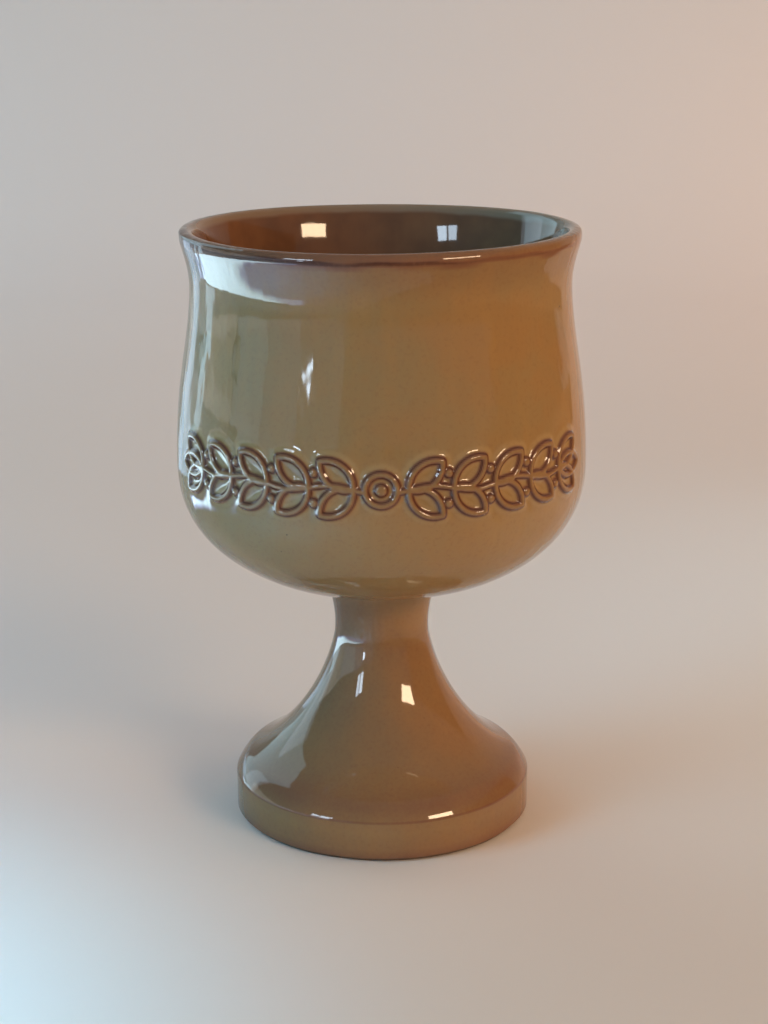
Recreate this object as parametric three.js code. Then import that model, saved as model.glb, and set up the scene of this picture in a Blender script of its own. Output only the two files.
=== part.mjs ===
// Stoneware beer chalice: a bowl luted with slip onto a hollow pedestal, lined and coated with glaze.
// Millimetres, +Z up. The origin lies on the axis, in the plane that the foot ring stands on.
// Outlines are pairs of radius and height, and unless said otherwise they are the glazed surface.
import * as THREE from "three";

// Bowl
const bowlHeight = 90.15; // from the lowest point of the underside to the crest of the lip
const bellyRadius = 50.7; // widest point of the outside
const bellyRise = 33; // from the lowest point of the underside to the widest point
const bellyFullness = 2.2; // exponent of the superellipse that rounds the underside into the belly
const throatRadius = 46.3; // narrowest point under the lip
const throatDrop = 13; // from the crest of the lip down to the throat
const rimRadius = 48.3; // widest point of the flared lip
const lipThickness = 3.7; // diameter of the half-round lip
const lipFlare = THREE.MathUtils.degToRad(15.5); // outward lean of the wall below the lip
const bowlWall = 5.2; // thickness from the throat down to the belly
const bowlFloor = 8; // thickness in the middle of the floor

// Pedestal
const pedestalHeight = 59.1; // from the table to the middle of the dished seat under the bowl
const neckRadius = 11.8; // narrowest point of the stem
const neckDrop = 8.5; // from the middle of the seat down to the narrowest point
const neckTopRadius = 13.6; // where the stem meets the slip
const neckFlare = THREE.MathUtils.degToRad(14); // outward lean of the stem under the slip
const footRadius = 37.7; // upright band round the foot
const footBandHeight = 8.6; // from the table up to where the band starts to round over
const shoulderRadius = 7.2; // rounding between the band and the slope of the foot
const shoulderTurn = THREE.MathUtils.degToRad(64); // angle that the rounding turns through
const pedestalWall = 5.4; // thickness of the hollow foot and stem
const hollowRise = 2.5; // from the narrowest point of the stem up to the closed end of the hollow
const footEdge = 1; // rounding on both edges of the foot ring

// Slip and glaze
const slipThickness = 1.2; // layer between the bowl and its seat
const slipFillet = 2.8; // how far the slip is wiped out along the underside of the bowl
const glazeThickness = 0.45; // each coat
const bareBand = 0.6; // unglazed clay above the rounded edge of the foot ring

// Curve handles, as shares of the rise of each curve
const wallHandles = { belly: 0.43, throat: 0.25 };
const flareHandles = { throat: 0.36, lip: 0.33 };
const stemHandles = { neck: 0.36, shoulder: 0.36 };
const neckHandle = 0.36;

// Steps along each curve and round the axis
const turnSteps = 40;
const bowlSteps = { belly: 7, wall: 5, flare: 3, lip: 2 };
const pedestalSteps = { seat: 2, fillet: 2, neck: 2, stem: 7, shoulder: 3, edge: 2, hollowEnd: 2 };

// Heights worked out from the sizes above
const bowlBase = pedestalHeight + slipThickness - glazeThickness;
const bellyHeight = bowlBase + bellyRise;
const crestHeight = bowlBase + bowlHeight;
const throatHeight = crestHeight - throatDrop;
const neckHeight = pedestalHeight - neckDrop;
const glazeLine = footEdge + bareBand;
const lipCentre = point(rimRadius - lipThickness / 2, crestHeight - lipThickness / 2);

function point(radius, height) {
  return new THREE.Vector2(radius, height);
}

// Point at a distance from the start, in a direction that leans outward from straight up
function along(start, lean, distance) {
  return point(start.x + distance * Math.sin(lean), start.y + distance * Math.cos(lean));
}

function cubic(start, startHandle, endHandle, end) {
  return new THREE.CubicBezierCurve(start, startHandle, endHandle, end);
}

function arc(centre, radius, fromAngle, toAngle) {
  const clockwise = toAngle < fromAngle;
  return new THREE.EllipseCurve(centre.x, centre.y, radius, radius, fromAngle, toAngle, clockwise);
}

// Part of a quarter superellipse that runs from an upright side at its widest to level on the axis
class Superellipse extends THREE.Curve {
  constructor(widest, depth, sideHeight, fromRadius, toRadius) {
    super();
    Object.assign(this, { widest, depth, sideHeight });
    this.fromAngle = this.angleAt(fromRadius);
    this.toAngle = this.angleAt(toRadius);
  }

  angleAt(radius) {
    return Math.acos((radius / this.widest) ** (bellyFullness / 2));
  }

  getPoint(share, target = new THREE.Vector2()) {
    const angle = THREE.MathUtils.lerp(this.fromAngle, this.toAngle, share);
    const radius = this.widest * Math.abs(Math.cos(angle)) ** (2 / bellyFullness);
    const fall = this.depth * Math.sin(angle) ** (2 / bellyFullness);
    return target.set(radius, this.sideHeight - fall);
  }
}

// Wall between the belly and the throat, upright at both ends
function wallCurve(lowRadius, highRadius) {
  const rise = throatHeight - bellyHeight;
  return cubic(
    point(lowRadius, bellyHeight),
    point(lowRadius, bellyHeight + wallHandles.belly * rise),
    point(highRadius, throatHeight - wallHandles.throat * rise),
    point(highRadius, throatHeight),
  );
}

// Flare from the upright throat to the leaning edge of the lip
function flareCurve(startRadius, end) {
  const rise = end.y - throatHeight;
  return cubic(
    point(startRadius, throatHeight),
    point(startRadius, throatHeight + flareHandles.throat * rise),
    along(end, lipFlare, -flareHandles.lip * rise),
    end,
  );
}

function reversed(curve) {
  const turned = new THREE.Curve();
  turned.getPoint = (share, target) => curve.getPoint(1 - share, target);
  return turned;
}

// Samples of point and outward normal along curves that follow on from a run before them
function run(before, curves) {
  const samples = before ? [before.at(-1)] : [];
  for (const [curve, count] of curves) {
    for (let i = samples.length ? 1 : 0; i <= count; i += 1) {
      const tangent = curve.getTangent(i / count);
      samples.push({ surface: curve.getPoint(i / count), normal: point(-tangent.y, tangent.x) });
    }
  }
  return samples;
}

function surfaceOf(samples) {
  return samples.map((sample) => sample.surface);
}

// The same points sunk along their normals
function sunk(samples, depth) {
  return samples.map((sample) => sample.surface.clone().addScaledVector(sample.normal, -depth));
}

// Inside of the bowl, from the middle of its floor up to the crest of the lip
function liningRun() {
  const innerBelly = bellyRadius - bowlWall;
  const innerThroat = throatRadius - bowlWall;
  const lipInside = arc(lipCentre, lipThickness / 2, Math.PI - lipFlare, Math.PI / 2);
  const floor = new Superellipse(innerBelly, bellyRise - bowlFloor, bellyHeight, 0, innerBelly);
  return run(null, [
    [floor, bowlSteps.belly],
    [wallCurve(innerBelly, innerThroat), bowlSteps.wall],
    [flareCurve(innerThroat, lipInside.getPoint(0)), bowlSteps.flare],
    [lipInside, bowlSteps.lip],
  ]);
}

// Outside of the bowl, from the crest of the lip down to where the slip is wiped out
function bowlRun(before) {
  const lipOutside = arc(lipCentre, lipThickness / 2, Math.PI / 2, -lipFlare);
  return run(before, [
    [lipOutside, bowlSteps.lip],
    [reversed(flareCurve(throatRadius, lipOutside.getPoint(1))), bowlSteps.flare],
    [reversed(wallCurve(bellyRadius, throatRadius)), bowlSteps.wall],
    [undersideCurve(bellyRadius, neckTopRadius + slipFillet), bowlSteps.belly],
  ]);
}

function undersideCurve(fromRadius, toRadius) {
  return new Superellipse(bellyRadius, bellyRise, bellyHeight, fromRadius, toRadius);
}

// Top of the stem, level with the rim of a seat that follows the underside of the bowl
function neckTop() {
  const seatRise = undersideCurve(neckTopRadius, 0).getPoint(0).y - bowlBase;
  return point(neckTopRadius, pedestalHeight + seatRise);
}

// Wiped face of the slip, in the corner between the underside of the bowl and the stem
function slipRun(before) {
  const start = before.at(-1).surface;
  const end = neckTop();
  const corner = along(end, neckFlare, (start.y - end.y) / Math.cos(neckFlare));
  return run(before, [[new THREE.QuadraticBezierCurve(start, corner, end), pedestalSteps.fillet]]);
}

// Outside of the pedestal, from the slip down to the edge of the glaze
function pedestalRun(before) {
  const top = neckTop();
  const neck = point(neckRadius, neckHeight);
  const neckRise = top.y - neckHeight;
  const shoulderCentre = point(footRadius - shoulderRadius, footBandHeight);
  const shoulder = arc(shoulderCentre, shoulderRadius, shoulderTurn, 0);
  const shoulderTop = shoulder.getPoint(0);
  const stemRise = neckHeight - shoulderTop.y;
  return run(before, [
    [
      cubic(
        top,
        along(top, neckFlare, -neckHandle * neckRise),
        point(neckRadius, neckHeight + neckHandle * neckRise),
        neck,
      ),
      pedestalSteps.neck,
    ],
    [
      cubic(
        neck,
        point(neckRadius, neckHeight - stemHandles.neck * stemRise),
        along(shoulderTop, -shoulderTurn, stemHandles.shoulder * stemRise),
        shoulderTop,
      ),
      pedestalSteps.stem,
    ],
    [shoulder, pedestalSteps.shoulder],
    [new THREE.LineCurve(point(footRadius, footBandHeight), point(footRadius, glazeLine)), 1],
  ]);
}

// Bare ring that the chalice stands on, from the outer edge to the inner edge
function footRingPoints() {
  const outer = footRadius - glazeThickness - footEdge;
  const inner = footRadius - pedestalWall + footEdge;
  return [
    ...arc(point(outer, footEdge), footEdge, 0, -Math.PI / 2).getPoints(pedestalSteps.edge),
    ...arc(point(inner, footEdge), footEdge, -Math.PI / 2, -Math.PI).getPoints(pedestalSteps.edge),
  ];
}

// Hollow of the pedestal, from the foot ring up to the axis, a wall's thickness inside the stem
function hollowPoints(pedestal) {
  const stemStart = pedestalSteps.neck;
  const stemEnd = stemStart + pedestalSteps.stem;
  const stem = sunk(pedestal.slice(stemStart, stemEnd + 1), pedestalWall).reverse();
  const wallRadius = footRadius - pedestalWall;
  const corner = point(wallRadius, stem[0].y);
  const bend = new THREE.QuadraticBezierCurve(point(wallRadius, footBandHeight / 2), corner, stem[0]);
  const endStart = stem.at(-1);
  const endTop = neckHeight + hollowRise;
  const end = new THREE.QuadraticBezierCurve(endStart, point(endStart.x, endTop), point(0, endTop));
  return [
    ...bend.getPoints(pedestalSteps.edge),
    ...stem.slice(1),
    ...end.getPoints(pedestalSteps.hollowEnd).slice(1),
  ];
}

// Solid of revolution about Z. The profile closes on itself or on the axis, with the material on its right
function revolve(profile) {
  return new THREE.LatheGeometry(profile.slice().reverse(), turnSteps).rotateX(Math.PI / 2);
}

function piece(name, profile, color, roughness) {
  const mesh = new THREE.Mesh(
    revolve(profile),
    new THREE.MeshStandardMaterial({ color, roughness, metalness: 0 }),
  );
  mesh.name = name;
  return mesh;
}

const lining = liningRun();
const bowlOutside = bowlRun(lining);
const slipFace = slipRun(bowlOutside);
const pedestalOutside = pedestalRun(slipFace);
const coat = [...bowlOutside, ...slipFace.slice(1), ...pedestalOutside.slice(1)];
const underside = sunk(
  run(bowlOutside, [[undersideCurve(neckTopRadius + slipFillet, 0), pedestalSteps.seat]]),
  glazeThickness,
);

// Dished seat on top of the pedestal, level in the middle
const seatRim = sunk(pedestalOutside, glazeThickness)[0];
const seat = new THREE.QuadraticBezierCurve(
  point(0, pedestalHeight),
  point(seatRim.x / 2, pedestalHeight),
  seatRim,
).getPoints(pedestalSteps.seat);

const bowlProfile = [
  ...sunk(lining, glazeThickness),
  ...sunk(bowlOutside, glazeThickness).slice(1),
  ...underside.slice(1),
];
const slipProfile = [
  ...underside.slice().reverse(),
  ...sunk(slipFace, glazeThickness).slice(1),
  ...seat.slice().reverse().slice(1),
];
const pedestalProfile = [
  ...seat,
  ...sunk(pedestalOutside, glazeThickness).slice(1),
  ...footRingPoints(),
  ...hollowPoints(pedestalOutside),
];
const liningProfile = [
  ...surfaceOf(lining),
  ...sunk(lining, glazeThickness).reverse(),
];
const coatProfile = [
  ...surfaceOf(coat),
  ...sunk(coat, glazeThickness).reverse(),
  coat[0].surface,
];

const chalice = new THREE.Group();
chalice.name = "stoneware_chalice";
chalice.add(
  piece("bowl", bowlProfile, 0xb39a78, 0.85),
  piece("pedestal", pedestalProfile, 0xb39a78, 0.85),
  piece("luting_slip", slipProfile, 0xa28a6b, 0.9),
  piece("liner_glaze", liningProfile, 0x5b3c2b, 0.15),
  piece("outer_glaze", coatProfile, 0x8a6a48, 0.15),
);

export default chalice;
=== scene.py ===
"""Looks of a glazed stoneware beer chalice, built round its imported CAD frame.

The outlines of the chalice are curves of radius and height. Each piece is such an outline turned round the
axis: two clay bodies, the slip between them, and the lining and the outer coat of glaze, which carries a
raised laurel spray on the front of the belly. Sizes are in millimetres and become metres when a mesh is
filled.
"""

import logging
import math
from dataclasses import dataclass, field
from enum import Enum
from typing import Any, NamedTuple, Optional, Union

import bpy
import numpy as np
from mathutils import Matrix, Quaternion, Vector


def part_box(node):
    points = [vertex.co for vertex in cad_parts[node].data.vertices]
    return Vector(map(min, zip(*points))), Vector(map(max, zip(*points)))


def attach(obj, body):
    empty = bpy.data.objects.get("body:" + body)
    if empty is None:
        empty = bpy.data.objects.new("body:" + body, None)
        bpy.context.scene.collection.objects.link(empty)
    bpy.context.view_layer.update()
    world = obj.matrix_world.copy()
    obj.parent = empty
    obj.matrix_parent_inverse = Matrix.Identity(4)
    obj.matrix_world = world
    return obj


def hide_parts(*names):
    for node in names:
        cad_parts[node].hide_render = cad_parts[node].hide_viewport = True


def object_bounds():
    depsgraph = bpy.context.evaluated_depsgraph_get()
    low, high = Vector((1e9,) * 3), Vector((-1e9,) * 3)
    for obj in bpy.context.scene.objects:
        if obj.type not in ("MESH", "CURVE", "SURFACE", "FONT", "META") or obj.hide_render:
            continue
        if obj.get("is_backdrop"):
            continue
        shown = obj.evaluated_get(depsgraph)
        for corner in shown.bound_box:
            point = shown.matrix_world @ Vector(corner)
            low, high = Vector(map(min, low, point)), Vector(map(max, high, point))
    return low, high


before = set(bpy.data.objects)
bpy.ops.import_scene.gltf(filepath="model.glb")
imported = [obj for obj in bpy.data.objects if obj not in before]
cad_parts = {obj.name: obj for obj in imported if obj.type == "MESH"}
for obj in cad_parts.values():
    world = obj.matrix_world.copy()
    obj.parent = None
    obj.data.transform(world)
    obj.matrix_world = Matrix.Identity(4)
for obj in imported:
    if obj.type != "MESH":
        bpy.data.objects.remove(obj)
CAD_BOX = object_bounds()

MM = 0.001
CURVE_SAMPLES = 240
AXIS_REACH = 1e-6
SHARP_EDGE = math.radians(62)
DIAGONAL = math.sqrt(0.5)
GLAZE_IOR = 1.52
SWEEP = "sweep"

Array = np.ndarray
Colour = tuple[float, float, float]
COOL: Colour = (0.66, 0.83, 1.0)
log = logging.getLogger("chalice")


class Slot(Enum):
    """Material slot that each piece is labelled with."""

    CLAY = "stoneware_clay"
    SLIP = "slip"
    LINING = "brown_glaze"
    COAT = "tan_glaze"


def smoothstep(low: float, high: float, value: Array) -> Array:
    """Return 0 on the low side, 1 on the high side, and 3t^2 - 2t^3 of the share t between them."""
    share = np.clip((value - low) / (high - low), 0.0, 1.0)
    return share * share * (3.0 - 2.0 * share)


def bell(value: Array, centre: float, reach: Union[float, Array]) -> Array:
    """Return a bell curve: e to the power of minus the squared distance from the centre in reaches."""
    return np.exp(-(((value - centre) / reach) ** 2))


class Step(NamedTuple):
    """Smooth step from 0 at its start to 1 at its end, which may lie below the start."""

    start: float
    end: float

    def at(self, value: Array) -> Array:
        """Return the step at each value."""
        return smoothstep(self.start, self.end, value)


class Hump(NamedTuple):
    """Bell curve round a centre."""

    centre: float
    reach: float

    def at(self, value: Array) -> Array:
        """Return the bell at each value."""
        return bell(value, self.centre, self.reach)


class Wave(NamedTuple):
    """Sine over the surface: its size, waves round the axis, turn for each millimetre upward, and start."""

    size: float
    around: float
    upward: float = 0.0
    start: float = 0.0

    def at(self, azimuth: Array, height: Union[float, Array] = 0.0) -> Array:
        """Return the size times the sine of the turn at each place."""
        return self.size * np.sin(self.around * azimuth + self.upward * height + self.start)


class Sided(NamedTuple):
    """Amount on the right of the chalice, and how much more there is on the left."""

    amount: float
    gain: float

    def at(self, leftward: Array) -> Array:
        """Return the amount where the chalice faces left by a share."""
        return self.amount + self.gain * leftward


class Texture(NamedTuple):
    """Soft noise: size of its blobs in millimetres, octaves, and stretch of the blobs along the height."""

    size: float
    detail: float = 2.0
    stretch: float = 1.0


class Spots(NamedTuple):
    """Small round spots: mean spacing and radius in millimetres, and share of the places that have one."""

    spacing: float
    radius: float
    share: float


def shares() -> Array:
    """Return even steps from 0 to 1, as a column."""
    return np.linspace(0.0, 1.0, CURVE_SAMPLES)[:, None]


def bezier(*controls: tuple[float, float]) -> Array:
    """Sample a Bezier curve by repeated straight blending of its control points.

    Args:
        controls: radius and height of each control point.

    Returns:
        Points along the curve.
    """
    level = [np.array([point]) for point in controls]
    t = shares()
    while len(level) > 1:
        level = [(1.0 - t) * a + t * b for a, b in zip(level, level[1:])]
    return level[0]


def arc(centre: tuple[float, float], radius: float, start: float, end: float) -> Array:
    """Sample a circular arc: the centre plus the radius times the cosine and sine of an even angle.

    Args:
        centre: radius and height of the centre.
        radius: radius of the arc.
        start: first angle, in radians from straight outward.
        end: last angle.

    Returns:
        Points along the arc.
    """
    angle = start + (end - start) * shares()
    return np.array([centre]) + radius * np.hstack([np.cos(angle), np.sin(angle)])


def spread(coordinate: Array, spacing: Array) -> Array:
    """Place points so that their distance follows a wanted spacing.

    The running sum of one over the spacing counts the steps, and its inverse at even counts gives the
    places.

    Args:
        coordinate: rising coordinate at which the spacing is known.
        spacing: wanted distance between neighbours there.

    Returns:
        The places, with both ends among them.
    """
    density = 1.0 / spacing
    counted = np.cumsum(0.5 * (density[1:] + density[:-1]) * np.diff(coordinate))
    counted = np.concatenate([[0.0], counted])
    steps = math.ceil(counted[-1])
    return np.interp(np.linspace(0.0, counted[-1], steps + 1), counted, coordinate)


@dataclass(frozen=True)
class Run:
    """Stretch of an outline: points of radius and height, and the outward normal at each."""

    points: Array
    normals: Array

    @staticmethod
    def through(*curves: Array) -> "Run":
        """Join curves end to end; the normal is the direction of travel turned to its left.

        Args:
            curves: points of each curve, where each starts at the end of the one before.

        Returns:
            The joined run.
        """
        points = np.vstack([curves[0], *[curve[1:] for curve in curves[1:]]])
        travel = np.gradient(points, axis=0)
        travel /= np.hypot(travel[:, :1], travel[:, 1:])
        return Run(points, np.column_stack([-travel[:, 1], travel[:, 0]]))

    def lengths(self) -> Array:
        """Return the distance travelled along the run at each of its points."""
        steps = np.hypot(*np.diff(self.points, axis=0).T)
        return np.concatenate([[0.0], np.cumsum(steps)])

    def spaced(self, turn: float, finest: float, widest: float, fine: Optional[Array] = None) -> "Run":
        """Resample the run, closer where it bends.

        The spacing is the wanted turn times the radius of curvature, held between the finest and the widest.

        Args:
            turn: angle between neighbouring points, in radians.
            finest: smallest spacing.
            widest: largest spacing.
            fine: further limit on the spacing at each point, if any.

        Returns:
            The resampled run.
        """
        along = self.lengths()
        heading = np.unwrap(np.arctan2(self.normals[:, 1], self.normals[:, 0]))
        bend = np.abs(np.gradient(heading, along))
        spacing = np.clip(turn / np.maximum(bend, 1e-9), finest, widest)
        if fine is not None:
            spacing = np.minimum(spacing, fine)
        places = spread(along, spacing)
        columns = np.hstack([self.points, self.normals])
        taken = np.column_stack([np.interp(places, along, column) for column in columns.T])
        return Run(taken[:, :2], taken[:, 2:])

    def sunk(self, depth: float) -> Array:
        """Return the points moved against their normals."""
        return self.points - depth * self.normals

    def reversed(self) -> "Run":
        """Return the run in the other order of points, with the same normals."""
        return Run(self.points[::-1], self.normals[::-1])

    def joined(self, after: "Run") -> "Run":
        """Return this run followed by another that starts at its end."""
        points = np.vstack([self.points, after.points[1:]])
        return Run(points, np.vstack([self.normals, after.normals[1:]]))


@dataclass(frozen=True)
class ChaliceForm:
    """Outlines of the chalice, as radius and height of the glazed surface."""

    crest_height: float
    bowl_base: float
    belly_radius: float
    foot_radius: float
    seat_height: float
    glaze: float = 0.45
    belly_rise: float = 33.0
    belly_fullness: float = 2.29
    throat_radius: float = 46.3
    throat_drop: float = 13.0
    rim_radius: float = 48.45
    lip_thickness: float = 3.7
    lip_flare: float = math.radians(15.5)
    lip_fall: float = 5.0
    inner_throat_drop: float = 20.0
    inner_flare: float = math.radians(24.0)
    bowl_wall: float = 5.2
    bowl_floor: float = 8.0
    neck_radius: float = 12.0
    neck_drop: float = 8.5
    neck_top_radius: float = 13.6
    neck_flare: float = math.radians(14.0)
    foot_band_height: float = 9.8
    foot_corner: float = 2.0
    foot_corner_turn: float = math.radians(28.0)
    shoulder_width: float = 4.04
    shoulder_height: float = 15.07
    shoulder_turn: float = math.radians(64.0)
    pedestal_wall: float = 5.4
    hollow_rise: float = 2.5
    hollow_step: float = 0.45
    foot_edge: float = 1.0
    glaze_line: float = 1.1
    slip_fillet: float = 2.8
    belly_handle: float = 0.43
    throat_handle: float = 0.25
    flare_handle: float = 0.36
    inner_flare_handle: float = 0.2
    lip_handle: float = 0.33
    stem_handle: float = 0.36

    @classmethod
    def from_frame(cls) -> "ChaliceForm":
        """Take the heights and widths that the solids of the frame show, and the rest from the fields."""
        coat_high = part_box("outer_glaze")[1] / MM
        bowl_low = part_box("bowl")[0] / MM
        pedestal_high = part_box("pedestal")[1] / MM
        slip_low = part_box("luting_slip")[0] / MM
        return cls(
            crest_height=coat_high.z,
            bowl_base=bowl_low.z - cls.glaze,
            belly_radius=coat_high.x,
            foot_radius=pedestal_high.x + cls.glaze,
            seat_height=slip_low.z,
        )

    @property
    def belly_height(self) -> float:
        """Height of the widest point of the bowl."""
        return self.bowl_base + self.belly_rise

    @property
    def throat_height(self) -> float:
        """Height of the narrowest point under the lip."""
        return self.crest_height - self.throat_drop

    @property
    def neck_height(self) -> float:
        """Height of the narrowest point of the stem."""
        return self.seat_height - self.neck_drop

    @property
    def lip_radius(self) -> float:
        """Radius of the rounding of the lip."""
        return self.lip_thickness / 2.0

    @property
    def lip_centre(self) -> tuple[float, float]:
        """Centre of the rounding of the lip."""
        return self.rim_radius - self.lip_radius, self.crest_height - self.lip_radius

    def superellipse(self, widest: float, depth: float, start: float, end: float) -> Array:
        """Sample the rounding under the belly, from one radius to another.

        The radius is the widest times the cosine, and the fall below the belly is the depth times the sine,
        each to the power of two over the fullness.

        Args:
            widest: radius at the belly.
            depth: fall from the belly to the axis.
            start: first radius.
            end: last radius.

        Returns:
            Points along the curve.
        """
        power = 2.0 / self.belly_fullness
        first = math.acos(min(1.0, (start / widest) ** (1.0 / power)))
        last = math.acos(min(1.0, (end / widest) ** (1.0 / power)))
        angle = first + (last - first) * shares()
        radius = widest * np.abs(np.cos(angle)) ** power
        return np.hstack([radius, self.belly_height - depth * np.sin(angle) ** power])

    def wall(self, low_radius: float, high_radius: float, high: float) -> Array:
        """Sample the wall from the belly up to a throat of a given height, upright at both ends."""
        rise = high - self.belly_height
        return bezier(
            (low_radius, self.belly_height),
            (low_radius, self.belly_height + self.belly_handle * rise),
            (high_radius, high - self.throat_handle * rise),
            (high_radius, high),
        )

    def flare(self, start: tuple[float, float], end: Array, lean: float, handle: float) -> Array:
        """Sample the flare from a throat, upright for a share of the rise, to the leaning edge of the lip."""
        rise = end[1] - start[1]
        reach = self.lip_handle * rise
        return bezier(
            start,
            (start[0], start[1] + handle * rise),
            (end[0] - reach * math.tan(lean), end[1] - reach),
            (end[0], end[1]),
        )

    def lining(self) -> Run:
        """Return the inside of the bowl, from the middle of its floor up to the crest of the lip."""
        belly = self.belly_radius - self.bowl_wall
        throat = (self.throat_radius - self.bowl_wall, self.crest_height - self.inner_throat_drop)
        lip = arc(self.lip_centre, self.lip_radius, math.pi - self.inner_flare, math.pi / 2.0)
        floor = self.superellipse(belly, self.belly_rise - self.bowl_floor, 0.0, belly)
        flare = self.flare(throat, lip[0], self.inner_flare, self.inner_flare_handle)
        return Run.through(floor, self.wall(belly, *throat), flare, lip)

    def bowl_outside(self) -> Run:
        """Return the outside of the bowl, from the crest of the lip down to the slip."""
        lip = arc(self.lip_centre, self.lip_radius, math.pi / 2.0, 0.0)
        fall_centre = (self.rim_radius - self.lip_fall, self.lip_centre[1])
        fall = arc(fall_centre, self.lip_fall, 0.0, -self.lip_flare)
        throat = (self.throat_radius, self.throat_height)
        flare = self.flare(throat, fall[-1], self.lip_flare, self.flare_handle)[::-1]
        wall = self.wall(self.belly_radius, *throat)[::-1]
        return Run.through(lip, fall, flare, wall, self.underside(self.belly_radius, self.slip_edge))

    def underside(self, start: float, end: float) -> Array:
        """Sample the underside of the bowl from one radius to another."""
        return self.superellipse(self.belly_radius, self.belly_rise, start, end)

    @property
    def slip_edge(self) -> float:
        """Radius at which the slip is wiped out along the underside of the bowl."""
        return self.neck_top_radius + self.slip_fillet

    def neck_top(self) -> tuple[float, float]:
        """Return the top of the stem, level with the rim of a seat that follows the bowl's underside."""
        rise = self.underside(self.neck_top_radius, 0.0)[0, 1] - self.bowl_base
        return self.neck_top_radius, self.seat_height + rise

    def slip_face(self) -> Run:
        """Return the wiped face of the slip, in the corner between the bowl and the stem."""
        start = self.underside(self.slip_edge, 0.0)[0]
        end = self.neck_top()
        rise = start[1] - end[1]
        corner = (end[0] + rise * math.tan(self.neck_flare), start[1])
        return Run.through(bezier((start[0], start[1]), corner, end))

    def stem(self) -> tuple[Array, Array]:
        """Return the neck above the narrowest point of the stem, and the long curve below it."""
        top = self.neck_top()
        neck_rise = self.stem_handle * (top[1] - self.neck_height)
        shoulder = self.shoulder_top
        fall = self.stem_handle * (self.neck_height - shoulder[1])
        neck = bezier(
            top,
            (top[0] - neck_rise * math.sin(self.neck_flare), top[1] - neck_rise * math.cos(self.neck_flare)),
            (self.neck_radius, self.neck_height + neck_rise),
            (self.neck_radius, self.neck_height),
        )
        lean = self.shoulder_turn
        long_curve = bezier(
            (self.neck_radius, self.neck_height),
            (self.neck_radius, self.neck_height - fall),
            (shoulder[0] - fall * math.sin(lean), shoulder[1] + fall * math.cos(lean)),
            shoulder,
        )
        return neck, long_curve

    @property
    def shoulder_top(self) -> tuple[float, float]:
        """Point where the slope of the foot starts to round over."""
        return self.foot_radius - self.shoulder_width, self.shoulder_height

    def corner(self) -> Array:
        """Sample the tight corner above the upright band of the foot."""
        centre = (self.foot_radius - self.foot_corner, self.foot_band_height)
        return arc(centre, self.foot_corner, self.foot_corner_turn, 0.0)

    def shoulder(self) -> Array:
        """Sample the soft rounding from the slope of the foot to the corner, with the lean of each.

        The middle control point is where the straight lines that go on from the slope and the corner cross.

        Returns:
            Points along the rounding.
        """
        high, low = self.shoulder_top, self.corner()[0]
        slope = np.array([math.sin(self.shoulder_turn), -math.cos(self.shoulder_turn)])
        rise = np.array([-math.sin(self.foot_corner_turn), math.cos(self.foot_corner_turn)])
        reach = np.linalg.solve(np.column_stack([slope, -rise]), low - np.array(high))[0]
        return bezier(high, tuple(np.array(high) + reach * slope), tuple(low))

    def pedestal_outside(self) -> Run:
        """Return the outside of the pedestal, from the slip down to the edge of the glaze."""
        band = bezier((self.foot_radius, self.foot_band_height), (self.foot_radius, self.glaze_line))
        return Run.through(*self.stem(), self.shoulder(), self.corner(), band)

    def outside(self) -> Run:
        """Return the whole outside, from the crest of the lip to the edge of the glaze."""
        return self.bowl_outside().joined(self.slip_face()).joined(self.pedestal_outside())

    def foot_ring(self) -> Run:
        """Return the bare ring that the chalice stands on, from its outer edge to its inner edge."""
        outer = self.foot_radius - self.glaze - self.foot_edge
        inner = self.foot_radius - self.pedestal_wall + self.foot_edge
        start = (self.foot_radius - self.glaze, self.glaze_line)
        return Run.through(
            bezier(start, (outer + self.foot_edge, self.foot_edge)),
            arc((outer, self.foot_edge), self.foot_edge, 0.0, -math.pi / 2.0),
            bezier((outer, 0.0), (inner, 0.0)),
            arc((inner, self.foot_edge), self.foot_edge, -math.pi / 2.0, -math.pi),
        )

    def hollow(self) -> Run:
        """Return the hollow of the pedestal, from the foot ring up to the axis, a wall inside the stem."""
        stem = Run.through(self.stem()[1]).sunk(self.pedestal_wall)[::-1]
        radius = self.foot_radius - self.pedestal_wall
        low = (radius, self.hollow_step * self.foot_band_height)
        end_height = self.neck_height + self.hollow_rise
        end = stem[-1]
        return Run.through(
            bezier((radius, self.foot_edge), low),
            bezier(low, (radius, stem[0, 1]), (stem[0, 0], stem[0, 1])),
            stem,
            bezier((end[0], end[1]), (end[0], end_height), (0.0, end_height)),
        )

    def seat(self) -> Run:
        """Return the dished seat on top of the pedestal, from the axis to its rim."""
        rim = self.pedestal_outside().sunk(self.glaze)[0]
        middle = (rim[0] / 2.0, self.seat_height)
        return Run.through(bezier((0.0, self.seat_height), middle, (rim[0], rim[1])))


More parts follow.
